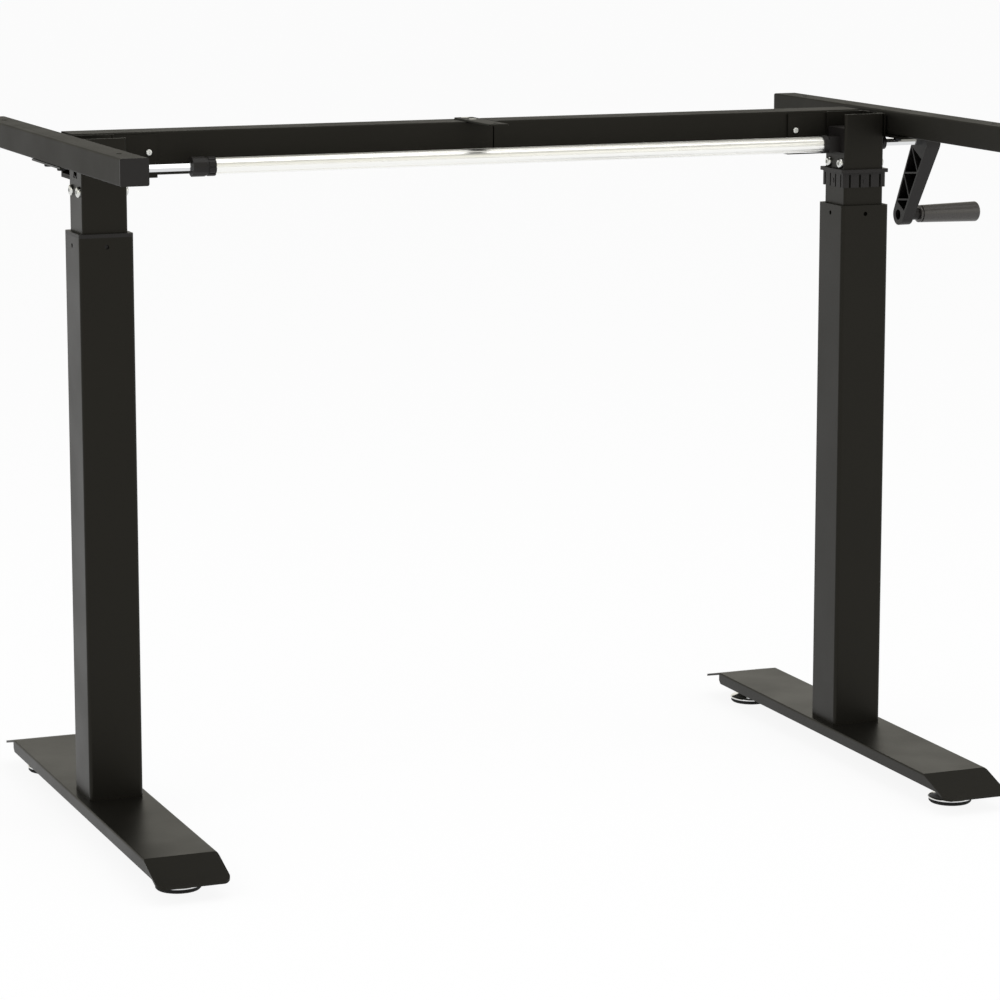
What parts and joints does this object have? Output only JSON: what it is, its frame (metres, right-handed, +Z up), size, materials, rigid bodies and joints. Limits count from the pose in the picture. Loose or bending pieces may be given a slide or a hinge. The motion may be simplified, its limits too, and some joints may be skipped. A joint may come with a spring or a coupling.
{
  "type": "height-adjustable desk frame",
  "caption": "Hand-crank standing desk frame: telescopic square legs on pressed feet, joined by a crossbar and drive tube, with support bars for a tabletop.",
  "frame": {"origin": "on the floor, under the middle of the frame's outline", "axes": "+X along the width towards the crank, +Y to the back, +Z up"},
  "size_m": [1.1588, 0.627, 0.7603],
  "materials": {
    "black_powder_coat": "satin powder coat",
    "black_plastic": "moulded, satin",
    "grip_plastic": "moulded, smooth",
    "bright_zinc": "bright zinc plate",
    "chrome": "bright plate",
    "aluminium": "drawn, anodised",
    "steel": "machined",
    "black_oxide": "black oxide",
    "bronze": "machined"
  },
  "bodies": {
    "base": {"foot_left": "black_powder_coat", "foot_right": "black_powder_coat", "outer_tube_left": "black_powder_coat", "outer_tube_right": "black_powder_coat", "base_plate_left": "steel", "base_plate_right": "steel", "nut_post_left": "steel", "nut_post_right": "steel", "lift_nut_left": "bronze", "lift_nut_right": "bronze", "guide_bush_left": "black_plastic", "foot_bolts": "bright_zinc", "leveller_nuts": "bright_zinc"},
    "upper_frame": {"inner_column_left": "black_powder_coat", "inner_column_right": "black_powder_coat", "gearbox_housing_left": "black_plastic", "gearbox_housing_right": "black_plastic", "thrust_bearing_left": "steel", "thrust_bearing_right": "steel", "support_bar_left": "black_powder_coat", "support_bar_right": "black_powder_coat", "bar_bracket_left": "black_powder_coat", "bar_bracket_right": "black_powder_coat", "cradle_left": "black_powder_coat", "cradle_right": "black_powder_coat", "crossbar_left": "black_powder_coat", "crossbar_right": "black_powder_coat", "column_glides": "black_plastic", "gearbox_covers": "black_plastic", "gearbox_screws": "bright_zinc", "shaft_bushes": "black_plastic", "bar_end_caps": "black_plastic", "bar_screws": "black_oxide", "joiner_sleeve": "steel", "crossbar_screws": "bright_zinc", "centre_strap": "black_powder_coat", "strap_screws": "bright_zinc"},
    "crank": {"crank_arm": "black_plastic", "grip_pin": "black_oxide", "hex_shaft": "chrome", "drive_tube": "aluminium", "clamp_nut": "black_plastic", "hex_rod": "chrome", "drive_collars": "black_plastic", "pinion_left": "steel", "pinion_right": "steel"},
    "grip": {"grip": "grip_plastic"},
    "left_screw": {"lead_screw_left": "steel", "screw_gear_left": "steel"},
    "right_screw": {"lead_screw_right": "steel", "screw_gear_right": "steel"},
    "right_bush": {"guide_bush_right": "black_plastic"},
    "leveller_front_left": {"leveller_front_left": "chrome", "leveller_pad_front_left": "black_plastic"},
    "leveller_back_left": {"leveller_back_left": "chrome", "leveller_pad_back_left": "black_plastic"},
    "leveller_front_right": {"leveller_front_right": "chrome", "leveller_pad_front_right": "black_plastic"},
    "leveller_back_right": {"leveller_back_right": "chrome", "leveller_pad_back_right": "black_plastic"}
  },
  "joints": [
    {"name": "lift", "type": "slide", "parent": "base", "child": "upper_frame", "axis": [0, 0, 1], "range_m": [0, 0.42]},
    {"name": "crank_turn", "type": "hinge", "parent": "upper_frame", "child": "crank", "pos_m": [0.4731, 0, 0.7214], "axis": [1, 0, 0], "range_deg": [-18900, 0]},
    {"name": "grip_spin", "type": "hinge", "parent": "crank", "child": "grip", "pos_m": [0.4994, 0.05066, 0.63], "axis": [1, 0, 0], "continuous": true},
    {"name": "left_screw_turn", "type": "hinge", "parent": "upper_frame", "child": "left_screw", "pos_m": [-0.5189, 0, 0.7214], "axis": [0, 0, 1], "range_deg": [0, 18900]},
    {"name": "right_screw_turn", "type": "hinge", "parent": "upper_frame", "child": "right_screw", "pos_m": [0.3871, 0, 0.7214], "axis": [0, 0, 1], "range_deg": [0, 18900]},
    {"name": "bush_slide", "type": "slide", "parent": "base", "child": "right_bush", "axis": [0, 0, -1], "range_m": [0, 0.0374]},
    {"name": "leveller_front_left_screw", "type": "slide", "parent": "base", "child": "leveller_front_left", "axis": [0, 0, 1], "range_m": [-0.005, 0]},
    {"name": "leveller_back_left_screw", "type": "slide", "parent": "base", "child": "leveller_back_left", "axis": [0, 0, 1], "range_m": [-0.005, 0]},
    {"name": "leveller_front_right_screw", "type": "slide", "parent": "base", "child": "leveller_front_right", "axis": [0, 0, 1], "range_m": [-0.005, 0]},
    {"name": "leveller_back_right_screw", "type": "slide", "parent": "base", "child": "leveller_back_right", "axis": [0, 0, 1], "range_m": [-0.005, 0]}
  ],
  "couplings": [
    {"joint": "crank_turn", "follows": "lift", "rad_per_m": -785.4},
    {"joint": "left_screw_turn", "follows": "lift", "rad_per_m": 785.4},
    {"joint": "right_screw_turn", "follows": "lift", "rad_per_m": 785.4}
  ]
}
